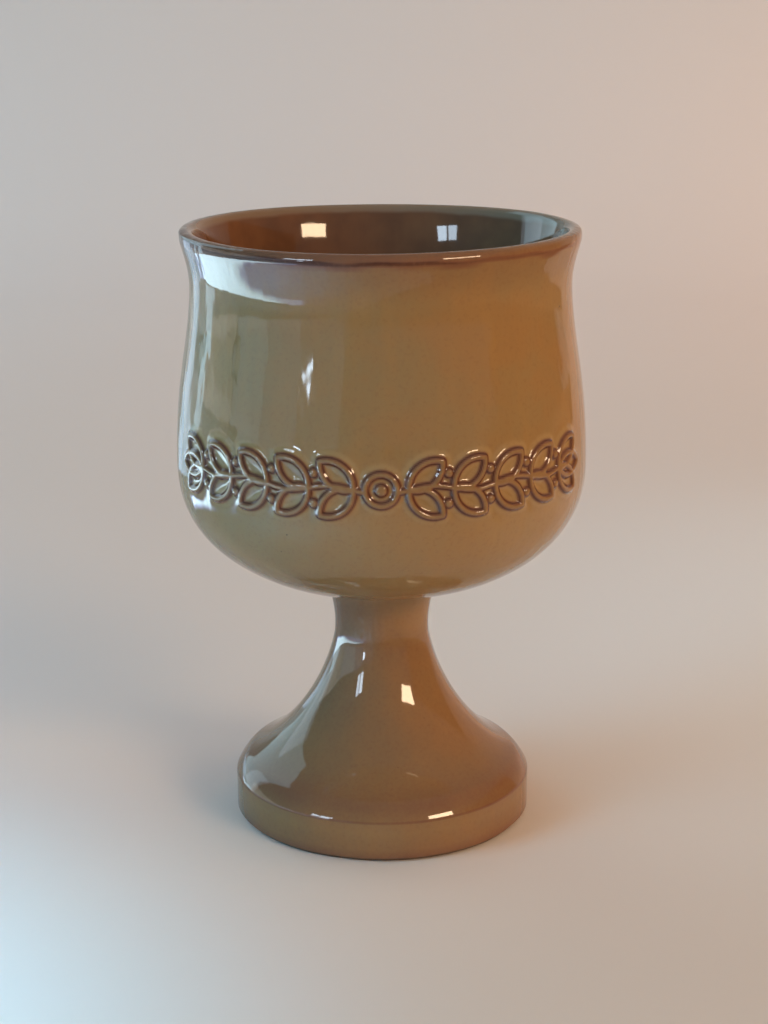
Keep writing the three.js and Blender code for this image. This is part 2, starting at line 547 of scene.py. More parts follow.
@dataclass(frozen=True)
class HandFinish:
    """Small departures from a true turned form, shared by all pieces so that they stay nested."""

    rim_radius: float
    crest_height: float
    lean: float = 0.0036
    lean_start: float = 52.0
    lean_onset: float = 6.0
    oval: float = 0.12
    oval_turn: float = 1.15
    corner_pull: float = 0.7
    corner_skew: float = 0.25
    corner_reach: float = 1.0
    corner_out: float = 1.2
    corner_up: float = 0.45
    rim_drop: float = 0.39
    rim_tilt: float = 0.23
    rim_wave: float = 0.2
    rim_turn: float = 3.67
    rim_ripple: float = 0.08
    rim_ripple_turn: float = -0.47
    ripple: float = 0.045
    ripples: tuple[Wave, ...] = (
        Wave(1.0, 5.0, 0.055),
        Wave(0.8, 9.0, -0.09, 1.3),
        Wave(0.7, 2.0, 0.21, 0.4),
        Wave(0.5, 14.0, 0.13, 2.2),
    )
    off_axis: Step = Step(0.0, 12.0)
    crease_height: float = 47.0
    crease_depth: float = 0.3
    crease_reach: float = 4.0
    crease_round: float = 0.12
    crease_zone: Step = Step(66.0, 60.0)
    upper_zone: Step = Step(95.0, 150.0)

    def placed(self, radius: Array, height: Array, azimuth: Array) -> Array:
        """Turn radius, height and azimuth into points, with the departures worked in.

        The radius gains an oval cosine of twice the azimuth, which grows with height, and a ripple of
        crossed sines; on the left and right the rounding of the lip is pulled out towards a corner, by a
        bell of the distance from it; where the neck ends, the radius loses a crease that fades
        exponentially up and down; the height loses a little near the rim and gains a tilt and a wave there;
        and above the neck the axis leans in proportion to the rise, with a soft start.

        Args:
            radius: radii, in rows by columns.
            height: heights, in rows by columns.
            azimuth: angle of each column from the front towards the right, in radians.

        Returns:
            Points in metres, in rows by columns by three.
        """
        upper = self.upper_zone.at(height)
        share = self.off_axis.at(radius)
        oval = self.oval * upper * np.cos(2.0 * azimuth + self.oval_turn)
        ripple = self.ripple * sum(wave.at(azimuth, height) for wave in self.ripples)
        beside = self.corner_pull - self.corner_skew * np.sin(azimuth)
        off_corner = np.hypot(radius - self.rim_radius, height - self.crest_height)
        pull = DIAGONAL * beside * np.sin(azimuth) ** 2 * bell(off_corner, 0.0, self.corner_reach)
        off_crease = (height - self.crease_height) / self.crease_reach
        fold = np.hypot(off_crease, self.crease_round) - self.crease_round
        crease = self.crease_depth * np.exp(-fold) * self.crease_zone.at(height) * share
        wide = radius + share * (oval + ripple) + self.corner_out * pull - crease
        wave = self.rim_wave * np.cos(2.0 * azimuth + self.rim_turn)
        wave = wave + self.rim_ripple * np.cos(3.0 * azimuth + self.rim_ripple_turn)
        rim = self.rim_tilt * np.sin(azimuth) - self.rim_drop + wave
        tall = height + self.corner_up * pull + upper * rim
        rise = np.maximum(height - self.lean_start, 0.0)
        x = wide * np.sin(azimuth) - self.lean * rise**2 / (rise + self.lean_onset)
        return np.stack([x, -wide * np.cos(azimuth), tall], axis=-1) * MM


@dataclass(frozen=True)
class LaurelSpray:
    """Raised laurel spray on the front of the belly, on a flat map of the surface.

    The map's u runs along the belly to the right of the front and its v runs upward, both in millimetres.
    The spray is the same on both sides of the front. Each motif is a distance to its nearest edge, below
    zero inside.
    """

    centre_height: float = 97.3
    map_radius: float = 50.6
    half_reach: float = 58.0
    half_height: float = 7.8
    pairs: int = 5
    first_pair: float = 6.2
    pair_step: float = 10.3
    leaf_length: float = 9.8
    leaf_width: float = 5.2
    leaf_angle: float = math.radians(39.0)
    stroke: float = 0.72
    stem_stroke: float = 0.62
    stem_wave: float = 0.8
    berry_radius: float = 1.05
    berry_offset: tuple[float, float] = (9.0, 3.5)
    ring_radius: float = 3.6
    boss_radius: float = 1.4
    edge: float = 0.68
    height: float = 0.82
    swell: float = 0.32
    swell_reach: float = 1.4

    def stem_line(self, u: Array) -> Array:
        """Return the height of the wavy stem: a sine with one wave for two pairs of leaves."""
        return self.stem_wave * np.sin(math.pi * (u - self.first_pair) / self.pair_step)

    def leaf(self, u: Array, v: Array, root: float, angle: float) -> Array:
        """Return the distance to a leaf's outline, which is where two equal circles overlap.

        Args:
            u: places along the belly, from the leaf's side of the front.
            v: places up the belly.
            root: place along the stem that the leaf grows from.
            angle: direction of the leaf from the stem, in radians.

        Returns:
            Distance to the outline, below zero inside the leaf.
        """
        du = u - root
        dv = v - self.stem_line(np.array(root))
        tall = np.abs(du * math.cos(angle) + dv * math.sin(angle) - self.leaf_length / 2.0)
        wide = np.abs(dv * math.cos(angle) - du * math.sin(angle))
        half_length = self.leaf_length / 2.0
        half_width = self.leaf_width / 2.0
        radius = (half_length**2 + half_width**2) / (2.0 * half_width)
        offset = radius - half_width
        past_tip = (tall - half_length) * offset > wide * half_length
        return np.where(past_tip, np.hypot(wide, tall - half_length), np.hypot(wide + offset, tall) - radius)

    def distance(self, u: Array, v: Array) -> Array:
        """Return the distance to the nearest raised stroke, below zero on it.

        Args:
            u: places along the belly.
            v: places up the belly.

        Returns:
            The least of the distances to the ring, boss, stem, leaf outlines and berries.
        """
        side = np.abs(u)
        middle = np.hypot(side, v)
        last = self.first_pair + self.pair_step * (self.pairs - 1)
        past_ends = np.maximum(np.maximum(self.ring_radius - side, side - last), 0.0)
        nearest = np.minimum(np.abs(middle - self.ring_radius) - self.stroke, middle - self.boss_radius)
        nearest = np.minimum(nearest, np.hypot(v - self.stem_line(side), past_ends) - self.stem_stroke)
        for pair in range(self.pairs):
            root = self.first_pair + self.pair_step * pair
            for up in (1.0, -1.0):
                outline = np.abs(self.leaf(side, v, root, up * self.leaf_angle)) - self.stroke
                berry_u = root + self.berry_offset[0]
                berry_v = up * self.berry_offset[1]
                berry = np.hypot(side - berry_u, v - berry_v) - self.berry_radius
                if pair == self.pairs - 1:
                    berry = outline
                nearest = np.minimum(nearest, np.minimum(outline, berry))
        return np.minimum(nearest, np.abs(self.leaf(side, v, last, 0.0)) - self.stroke)


Input = Union[float, tuple, "Value"]


@dataclass(frozen=True)
class Value:
    """Output of a shader node, on which Python's operators add Math nodes."""

    graph: "Graph"
    socket: Any

    def __add__(self, other: Input) -> "Value":
        """Return this plus other."""
        return self.graph.math("ADD", self, other)

    def __radd__(self, other: Input) -> "Value":
        """Return other plus this."""
        return self.graph.math("ADD", other, self)

    def __sub__(self, other: Input) -> "Value":
        """Return this minus other."""
        return self.graph.math("SUBTRACT", self, other)

    def __rsub__(self, other: Input) -> "Value":
        """Return other minus this."""
        return self.graph.math("SUBTRACT", other, self)

    def __mul__(self, other: Input) -> "Value":
        """Return this times other."""
        return self.graph.math("MULTIPLY", self, other)

    def __rmul__(self, other: Input) -> "Value":
        """Return other times this."""
        return self.graph.math("MULTIPLY", other, self)

    def above(self, low: float, high: float) -> "Value":
        """Return 0 below low and 1 above high, with a smooth step between."""
        settings = {"interpolation_type": "SMOOTHSTEP"}
        inputs = {"Value": self, "From Min": low, "From Max": high}
        return self.graph.add("ShaderNodeMapRange", settings, inputs)


class Graph:
    """Node tree of one material, with a Principled shader."""

    noise_roughness: float = 0.55
    spot_core: float = 0.6
    draw_edge: float = 0.02

    def __init__(self, name: str) -> None:
        """Make a material of that name."""
        self.material = bpy.data.materials.new(name)
        self.material.use_nodes = True
        self.tree = self.material.node_tree
        self.shader = self.tree.nodes["Principled BSDF"]

    def feed(self, socket: Any, value: Input) -> None:
        """Link a value to a socket, or set a plain number or tuple on it."""
        if isinstance(value, Value):
            self.tree.links.new(value.socket, socket)
        else:
            socket.default_value = value

    def add(self, kind: str, settings: dict, inputs: dict, output: Union[int, str] = 0) -> Value:
        """Add a node.

        Args:
            kind: type of the node.
            settings: properties, which are set first.
            inputs: numbers, tuples or values for its sockets, by name or index.
            output: name or index of the output that is wanted.

        Returns:
            That output.
        """
        node = self.tree.nodes.new(kind)
        for name, setting in settings.items():
            setattr(node, name, setting)
        for key, value in inputs.items():
            self.feed(node.inputs[key], value)
        return Value(self, node.outputs[output])

    def math(self, operation: str, first: Input, second: Input) -> Value:
        """Add a Math node."""
        return self.add("ShaderNodeMath", {"operation": operation}, {0: first, 1: second})

    def place(self, scale: tuple[float, float, float] = (1.0, 1.0, 1.0)) -> Value:
        """Return Object coordinates, in metres, stretched by a scale along each axis."""
        coordinates = self.add("ShaderNodeTexCoord", {}, {}, "Object")
        if scale == (1.0, 1.0, 1.0):
            return coordinates
        settings = {"operation": "MULTIPLY"}
        return self.add("ShaderNodeVectorMath", settings, {0: coordinates, 1: scale})

    def noise(self, texture: Texture) -> Value:
        """Return soft noise, about 0.5 on average."""
        inputs = {
            "Vector": self.place((1.0, 1.0, 1.0 / texture.stretch)),
            "Scale": 1.0 / (texture.size * MM),
            "Detail": texture.detail,
            "Roughness": self.noise_roughness,
        }
        return self.add("ShaderNodeTexNoise", {}, inputs)

    def spots(self, spots: Spots) -> Value:
        """Return 1 on small round spots round some of the points of a Voronoi pattern, and 0 elsewhere."""
        inputs = {"Vector": self.place(), "Scale": 1.0 / (spots.spacing * MM)}
        distance = self.add("ShaderNodeTexVoronoi", {}, inputs, "Distance")
        draw = self.add("ShaderNodeTexVoronoi", {}, inputs, "Color")
        least = 1.0 - spots.share
        chosen = self.add("ShaderNodeSeparateColor", {}, {0: draw}, 0).above(least, least + self.draw_edge)
        reach = spots.radius / spots.spacing
        return chosen * (1.0 - distance.above(self.spot_core * reach, reach))

    def height(self) -> Value:
        """Return the height above the table, in millimetres."""
        z = self.add("ShaderNodeSeparateXYZ", {}, {0: self.place()}, "Z")
        return z * (1.0 / MM)

    def radius(self) -> Value:
        """Return the distance from the axis, in millimetres."""
        level = self.place((1.0 / MM, 1.0 / MM, 0.0))
        return self.add("ShaderNodeVectorMath", {"operation": "LENGTH"}, {0: level}, "Value")

    def attribute(self, name: str) -> Value:
        """Return a number that the mesh carries at its points."""
        return self.add("ShaderNodeAttribute", {"attribute_name": name}, {}, "Fac")

    def blend(self, share: Input, first: Union[Colour, Value], second: Union[Colour, Value]) -> Value:
        """Return the first colour with a share of the second mixed in."""
        settings = {"data_type": "RGBA"}
        inputs = {0: share, 6: self.opaque(first), 7: self.opaque(second)}
        return self.add("ShaderNodeMix", settings, inputs, 2)

    @staticmethod
    def opaque(colour: Union[Colour, Value]) -> Input:
        """Return a colour as a socket takes it."""
        return colour if isinstance(colour, Value) else (*colour, 1.0)

    def set(self, **inputs: Input) -> None:
        """Feed sockets of the shader, with underscores for spaces in their names."""
        for name, value in inputs.items():
            self.feed(self.shader.inputs[name.replace("_", " ")], value)

    def bump(self, height: Value) -> None:
        """Feed the shader's normal from a height in millimetres."""
        inputs = {"Height": height, "Distance": MM, "Strength": 1.0}
        self.set(Normal=self.add("ShaderNodeBump", {}, inputs))


@dataclass(frozen=True)
class CoatGlaze:
    """Glossy tan glaze that breaks to plum brown where it is thin and pools to ochre beside raised lines; the
    same plum brown also paints shade on the stem, the neck and the foot.
    """

    tan: Colour = (0.27, 0.148, 0.06)
    khaki: Colour = (0.25, 0.154, 0.068)
    ochre: Colour = (0.305, 0.166, 0.058)
    pooled: Colour = (0.315, 0.202, 0.095)
    # plum brown of thin glaze, also the colour of the painted shade
    thin: Colour = (0.172, 0.073, 0.04)
    bare: Colour = (0.06, 0.021, 0.016)
    speck: Colour = (0.05, 0.03, 0.02)
    mottle: Texture = Texture(17.0, 3.0)
    runs: Texture = Texture(4.5, 2.0, 9.0)
    grain: Texture = Texture(0.9, 2.0)
    broad_waves: Texture = Texture(7.0, 1.0, 4.0)
    fine_waves: Texture = Texture(2.5, 1.0, 5.0)
    pinholes: Spots = Spots(7.0, 0.3, 0.5)
    khaki_patches: Step = Step(0.35, 0.65)
    ochre_runs: Step = Step(0.45, 0.75)
    dull_runs: Step = Step(0.5, 0.9)
    thin_from: Step = Step(0.05, 0.55)
    bare_from: Step = Step(0.5, 0.95)
    dark_grains: Step = Step(0.5, 0.75)
    ochre_share: float = 0.3
    pooled_share: float = 0.7
    grain_share: float = 0.17
    speck_share: float = 0.8
    thin_even: float = 0.6
    thin_mottle: float = 0.5
    thin_grain: float = 0.3
    gloss: float = 0.045
    gloss_loss: float = 0.05
    broad_height: float = 0.2
    fine_height: float = 0.09
    stem_waves: float = 0.22
    bowl_zone: Step = Step(58.0, 82.0)
    pinhole_depth: float = 0.05

    def material(self) -> bpy.types.Material:
        """Build the material: mottling and runs, thin and pooled glaze with painted shade, pinholes and a
        wavy gloss.
        """
        g = Graph("coat_glaze")
        mottle = g.noise(self.mottle)
        runs = g.noise(self.runs)
        grain = g.noise(self.grain)
        colour = g.blend(mottle.above(*self.khaki_patches), self.tan, self.khaki)
        colour = g.blend(self.ochre_share * runs.above(*self.ochre_runs), colour, self.ochre)
        colour = g.blend(self.pooled_share * g.attribute("pooled"), colour, self.pooled)
        uneven = self.thin_even + self.thin_mottle * mottle + self.thin_grain * grain
        # the mark read here holds thin glaze and painted shade on the stem, the neck, the foot's slope and
        # its base
        thinned = g.attribute("thinned") * uneven
        colour = g.blend(thinned.above(*self.thin_from), colour, self.thin)
        colour = g.blend(thinned.above(*self.bare_from), colour, self.bare)
        colour = g.blend(self.grain_share * grain.above(*self.dark_grains), colour, self.thin)
        pinholes = g.spots(self.pinholes)
        colour = g.blend(self.speck_share * pinholes, colour, self.speck)
        g.set(Base_Color=colour, Roughness=self.gloss + self.gloss_loss * runs.above(*self.dull_runs))
        g.set(IOR=GLAZE_IOR)
        waves = self.broad_height * g.noise(self.broad_waves) + self.fine_height * g.noise(self.fine_waves)
        wavy = self.stem_waves + (1.0 - self.stem_waves) * g.height().above(*self.bowl_zone)
        g.bump(waves * wavy - self.pinhole_depth * pinholes)
        return g.material


@dataclass(frozen=True)
class LiningGlaze:
    """Glossy brown glaze inside the bowl, which turns plum grey where it thins over the lip."""

    brown: Colour = (0.165, 0.07, 0.033)
    dark: Colour = (0.115, 0.05, 0.026)
    thin: Colour = (0.2, 0.128, 0.085)
    mottle: Texture = Texture(14.0, 3.0)
    runs: Texture = Texture(3.5, 2.0, 8.0)
    broad_waves: Texture = Texture(12.0, 1.0)
    fine_waves: Texture = Texture(2.6, 1.0)
    dark_patches: Step = Step(0.35, 0.7)
    dark_runs: Step = Step(0.45, 0.75)
    dull_runs: Step = Step(0.5, 0.9)
    run_share: float = 0.35
    lip_zone: Step = Step(147.2, 148.4)
    lip_wander: float = 1.6
    gloss: float = 0.05
    gloss_loss: float = 0.05
    broad_height: float = 0.05
    fine_height: float = 0.006

    def material(self) -> bpy.types.Material:
        """Build the material: mottled brown, a thin lip and a wavy gloss."""
        g = Graph("lining_glaze")
        mottle = g.noise(self.mottle)
        runs = g.noise(self.runs)
        colour = g.blend(mottle.above(*self.dark_patches), self.brown, self.dark)
        colour = g.blend(self.run_share * runs.above(*self.dark_runs), colour, self.dark)
        lip = (g.height() + self.lip_wander * (mottle - 0.5)).above(*self.lip_zone)
        colour = g.blend(lip, colour, self.thin)
        g.set(Base_Color=colour, Roughness=self.gloss + self.gloss_loss * runs.above(*self.dull_runs))
        g.set(IOR=GLAZE_IOR)
        g.bump(self.broad_height * g.noise(self.broad_waves) + self.fine_height * g.noise(self.fine_waves))
        return g.material


@dataclass(frozen=True)
class BareClay:
    """Matt fired stoneware with grit, dark iron specks, faint turning marks, and a darker outer edge of the
    foot ring.
    """

    buff: Colour = (0.33, 0.22, 0.13)
    toasted: Colour = (0.23, 0.13, 0.07)
    dark_edge_colour: Colour = (0.13, 0.075, 0.045)
    speck: Colour = (0.08, 0.045, 0.03)
    patches: Texture = Texture(12.0, 4.0)
    grit: Texture = Texture(0.7, 2.0)
    turning: Texture = Texture(30.0, 1.0, 0.03)
    iron: Spots = Spots(2.6, 0.22, 0.3)
    toasted_patches: Step = Step(0.3, 0.7)
    dark_grit: Step = Step(0.5, 0.7)
    grit_share: float = 0.3
    iron_share: float = 0.8
    dark_edge_zone: Step = Step(35.4, 36.4)
    dark_edge_wander: float = 0.8
    matt: float = 0.78
    matt_grit: float = 0.14
    grit_height: float = 0.03
    turning_height: float = 0.06

    def material(self) -> bpy.types.Material:
        """Build the material: toasted patches, specks, grit and level turning marks."""
        g = Graph("bare_clay")
        patches = g.noise(self.patches)
        grit = g.noise(self.grit)
        colour = g.blend(patches.above(*self.toasted_patches), self.buff, self.toasted)
        colour = g.blend(self.grit_share * grit.above(*self.dark_grit), colour, self.toasted)
        colour = g.blend(self.iron_share * g.spots(self.iron), colour, self.speck)
        # darker towards the outer edge of the foot ring, by distance from the axis
        dark_edge = (g.radius() + self.dark_edge_wander * (patches - 0.5)).above(*self.dark_edge_zone)
        colour = g.blend(dark_edge, colour, self.dark_edge_colour)
        g.set(Base_Color=colour, Roughness=self.matt + self.matt_grit * grit)
        g.bump(self.grit_height * grit + self.turning_height * g.noise(self.turning))
        return g.material


@dataclass(frozen=True)
class FiredSlip:
    """Fired slip in the joint: darker than the clay, with fine wiping marks round the joint."""

    body: Colour = (0.36, 0.25, 0.15)
    wiped: Colour = (0.29, 0.195, 0.115)
    wiping: Texture = Texture(6.0, 3.0, 0.12)
    wiped_streaks: Step = Step(0.35, 0.65)
    matt: float = 0.85
    matt_wiping: float = 0.1
    wiping_height: float = 0.08

    def material(self) -> bpy.types.Material:
        """Build the material: two clays streaked round the joint."""
        g = Graph("fired_slip")
        wiping = g.noise(self.wiping)
        g.set(Base_Color=g.blend(wiping.above(*self.wiped_streaks), self.body, self.wiped))
        g.set(Roughness=self.matt + self.matt_wiping * wiping)
        g.bump(self.wiping_height * wiping)
        return g.material


@dataclass
class TurnedPiece:
    """Closed piece turned round the axis from rows of radius and height at each azimuth."""

    name: str
    node: str
    slot: Slot
    radius: Array
    height: Array
    azimuth: Array
    looped: bool
    marks: dict[str, Array] = field(default_factory=dict)

    def faces(self) -> tuple[Array, Array, Array]:
        """Number the points and list the corners of the faces.

        A row on the axis is one point. Each cell of the grid is a four-sided face, and a triangle beside
        such a point; columns close round the axis, and rows close too where the piece is looped.

        Returns:
            A mask of the points that the mesh keeps, the four-sided faces, and the triangles.
        """
        rows, columns = self.radius.shape
        on_axis = self.radius.max(axis=1) < AXIS_REACH
        counts = np.where(on_axis, 1, columns)
        starts = np.cumsum(counts) - counts
        along = np.arange(columns)
        kept = (along[None, :] == 0) | ~on_axis[:, None]
        ids = starts[:, None] + np.where(on_axis[:, None], 0, along[None, :])
        lower = np.roll(ids, -1, axis=0)
        corners = np.stack([ids, lower, np.roll(lower, -1, axis=1), np.roll(ids, -1, axis=1)], axis=-1)
        to_axis = np.roll(on_axis, -1)
        used = np.ones(rows, dtype=bool)
        used[-1] = self.looped
        quads = corners[used & ~on_axis & ~to_axis].reshape(-1, 4)
        fans = [corners[used & on_axis][..., [0, 1, 2]], corners[used & to_axis][..., [0, 1, 3]]]
        return kept, quads, np.concatenate([fan.reshape(-1, 3) for fan in fans])

    def build(self, finish: HandFinish) -> bpy.types.Object:
        """Fill a mesh with the turned surface and ride it on the root in place of its CAD node.

        Args:
            finish: departures from the true turned form.

        Returns:
            The object.
        """
        kept, quads, triangles = self.faces()
        points = finish.placed(self.radius, self.height, self.azimuth[None, :])[kept]
        mesh = bpy.data.meshes.new(self.name)
        mesh.vertices.add(len(points))
        mesh.vertices.foreach_set("co", points.astype(np.float32).ravel())
        corners = np.concatenate([quads.ravel(), triangles.ravel()]).astype(np.int32)
        mesh.loops.add(len(corners))
        mesh.loops.foreach_set("vertex_index", corners)
        starts = np.concatenate([4 * np.arange(len(quads)), 4 * len(quads) + 3 * np.arange(len(triangles))])
        mesh.polygons.add(len(starts))
        mesh.polygons.foreach_set("loop_start", starts.astype(np.int32))
        for name, values in self.marks.items():
            layer = mesh.attributes.new(name, "FLOAT", "POINT")
            layer.data.foreach_set("value", values[kept].astype(np.float32))
        mesh.update(calc_edges=True)
        mesh.shade_smooth()
        mesh.set_sharp_from_angle(angle=SHARP_EDGE)
        piece = bpy.data.objects.new(self.name, mesh)
        bpy.context.scene.collection.objects.link(piece)
        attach(piece, "root")
        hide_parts(self.node)
        log.info("%s: %d faces, in place of %s", self.name, len(starts), self.node)
        return piece


def even_turn(columns: int) -> Array:
    """Return azimuths at even steps round the axis."""
    return np.arange(columns) * (2.0 * math.pi / columns)


def turned(profile: Array, azimuth: Array) -> tuple[Array, Array]:
    """Return the radius and height of a profile repeated at each azimuth."""
    shape = (len(profile), len(azimuth))
    return np.broadcast_to(profile[:, :1], shape), np.broadcast_to(profile[:, 1:], shape)


@dataclass
class ClayBody:
    """Bowl, pedestal and the slip that joins them."""

    form: ChaliceForm
    finish: HandFinish
    turn: float = math.radians(7.0)
    finest: float = 0.25
    widest: float = 2.4
    bowl_columns: int = 120
    foot_columns: int = 192
    slip_columns: int = 96

    def spaced(self, run: Run) -> Run:
        """Return a run with the points that its bends need."""
        return run.spaced(self.turn, self.finest, self.widest)

    def underside(self) -> Run:
        """Return the bowl's underside within the slip, down to the axis."""
        return self.spaced(Run.through(self.form.underside(self.form.slip_edge, 0.0)))

    def piece(self, name: str, node: str, slot: Slot, profile: Array, columns: int) -> TurnedPiece:
        """Return a piece turned from a profile that starts and ends on the axis."""
        profile = profile.copy()
        profile[[0, -1], 0] = 0.0
        azimuth = even_turn(columns)
        radius, height = turned(profile, azimuth)
        return TurnedPiece(name, node, slot, radius, height, azimuth, looped=False)

    def bowl(self) -> TurnedPiece:
        """Return the clay bowl, a glaze coat inside both of its glazed faces."""
        lining = self.spaced(self.form.lining())
        outside = self.spaced(self.form.bowl_outside()).joined(self.underside())
        profile = np.vstack([lining.sunk(self.form.glaze), outside.sunk(self.form.glaze)[1:]])
        return self.piece("clay_bowl", "bowl", Slot.CLAY, profile, self.bowl_columns)

    def pedestal(self) -> TurnedPiece:
        """Return the hollow clay pedestal, from its seat round the foot ring to the end of its hollow."""
        outside = self.spaced(self.form.pedestal_outside()).sunk(self.form.glaze)
        parts = [
            self.spaced(self.form.seat()).points,
            outside[1:],
            self.spaced(self.form.foot_ring()).points[1:],
            self.spaced(self.form.hollow()).points[1:],
        ]
        return self.piece("clay_pedestal", "pedestal", Slot.CLAY, np.vstack(parts), self.foot_columns)

    def slip(self) -> TurnedPiece:
        """Return the slip, between the bowl's underside, its own wiped face and the seat."""
        top = self.underside().sunk(self.form.glaze)[::-1]
        face = self.spaced(self.form.slip_face()).sunk(self.form.glaze)
        seat = self.spaced(self.form.seat()).points[::-1]
        profile = np.vstack([top, face[1:], seat[1:]])
        return self.piece("slip_joint", "luting_slip", Slot.SLIP, profile, self.slip_columns)

    def build(self) -> None:
        """Build and dress the three pieces."""
        clay = BareClay().material()
        for piece in (self.bowl(), self.pedestal()):
            piece.build(self.finish).data.materials.append(clay)
        self.slip().build(self.finish).data.materials.append(FiredSlip().material())


@dataclass(frozen=True)
class GlazeThinningAndShade:
    """How much darker the outer coat is: glaze thinned at the lip, the stem and the corner of the foot,
    painted shade on the stem, the neck, the slope of the foot and its base, and a darkening under the lip and
    down the foot's band.

    Each is a bell or a step of the height in millimetres, and most are stronger on the left of the chalice.
    """

    crest_height: float
    left_turn: float = 0.25
    breaks: tuple[Wave, Wave] = (Wave(0.12, 7.0, start=1.0), Wave(1.0, 3.0))
    broken_mean: float = 0.88
    wander: tuple[Wave, Wave] = (Wave(0.16, 11.0, start=0.6), Wave(0.12, 23.0, start=2.1))
    line_drop: float = 2.3
    line_reach: Sided = Sided(0.7, 0.6)
    line_rise: float = 0.35
    line_bend: float = 0.45
    line_fading: Sided = Sided(0.6, 0.6)
    fading_power: float = 0.6
    rounding: Sided = Sided(0.08, 0.34)
    rounding_drop: Step = Step(-3.2, -1.6)
    # below the lip the wall grows darker towards the lip, more on the left
    under_lip: Sided = Sided(0.22, 0.12)
    under_lip_zone: Step = Step(132.0, 147.0)
    # stem and neck: partly thin glaze, partly painted shade under the bowl, more on the left and less on the
    # right at the neck
    stem: float = 0.28
    stem_top: Step = Step(64.0, 56.0)
    stem_foot: Step = Step(9.0, 14.0)
    stem_side: Sided = Sided(0.95, 0.25)
    neck: float = 0.1
    neck_zone: Hump = Hump(53.0, 8.0)
    neck_loss: float = 0.5
    neck_right: Step = Step(44.0, 52.0)
    band: float = 0.1
    band_zone: Step = Step(9.0, 5.0)
    # base: painted contact shade, darker towards the table
    base: float = 0.2
    base_zone: Step = Step(4.0, 1.2)
    # slope: painted shade on the shoulder of the foot, just above its corner
    slope: float = 0.12
    slope_zone: Hump = Hump(12.5, 3.5)
    corner: float = 0.32
    corner_sides: float = 0.2
    corner_zone: Step = Step(20.0, 16.0)
    corner_facing: Hump = Hump(13.0, 14.0)

    def on_lip(self, height: Array, azimuth: Array, leftward: Array, broken: Array) -> Array:
        """Return the thinning on the lip and the darkening under it: a line that wanders and fades round it,
        or an even share.

        Args:
            height: heights of the rows.
            azimuth: columns.
            leftward: how far each column faces left, from 0 to 1.
            broken: how far each column keeps its lines.

        Returns:
            The thinning and the darkening, in rows by columns.
        """
        wander = self.wander[0].at(azimuth) + self.wander[1].at(azimuth)
        level = height - wander - self.line_rise * leftward - self.line_bend * leftward**2
        fading = self.line_fading.at(leftward**self.fading_power)
        line = bell(level, self.crest_height - self.line_drop, self.line_reach.at(leftward)) * broken * fading
        rounding = self.rounding.at(leftward) * self.rounding_drop.at(height - self.crest_height)
        return np.maximum(line, rounding + self.under_lip.at(leftward) * self.under_lip_zone.at(height))

    def over(self, run: Run, azimuth: Array) -> Array:
        """Return the thinning and the painted shade over the whole outside.

        Args:
            run: rows of the outside.
            azimuth: columns.

        Returns:
            Numbers from 0 to 1, in rows by columns.
        """
        height = run.points[:, 1:]
        facing = np.degrees(np.arctan2(run.normals[:, 1:], run.normals[:, :1]))
        leftward = 0.5 - 0.5 * np.sin(azimuth + self.left_turn)
        broken = self.broken_mean + self.breaks[0].at(azimuth) * self.breaks[1].at(azimuth)
        # stem and neck: partly thin glaze, partly painted shade under the bowl
        side = self.stem_side.at(leftward) - self.neck_loss * self.neck_right.at(height) * (1.0 - leftward)
        stem = self.stem * self.stem_top.at(height) * self.stem_foot.at(height)
        stem = (stem + self.neck * self.neck_zone.at(height)) * side
        # darker down the foot's band, and painted contact shade at its base
        foot = self.band * self.band_zone.at(height) + self.base * self.base_zone.at(height)
        # painted shade on the shoulder of the foot
        foot = foot + self.slope * self.slope_zone.at(height)
        corner = self.corner + self.corner_sides * np.abs(np.sin(azimuth))
        corner = corner * self.corner_zone.at(height) * self.corner_facing.at(facing) * broken
        return np.clip(self.on_lip(height, azimuth, leftward, broken) + stem + corner + foot, 0.0, 1.0)


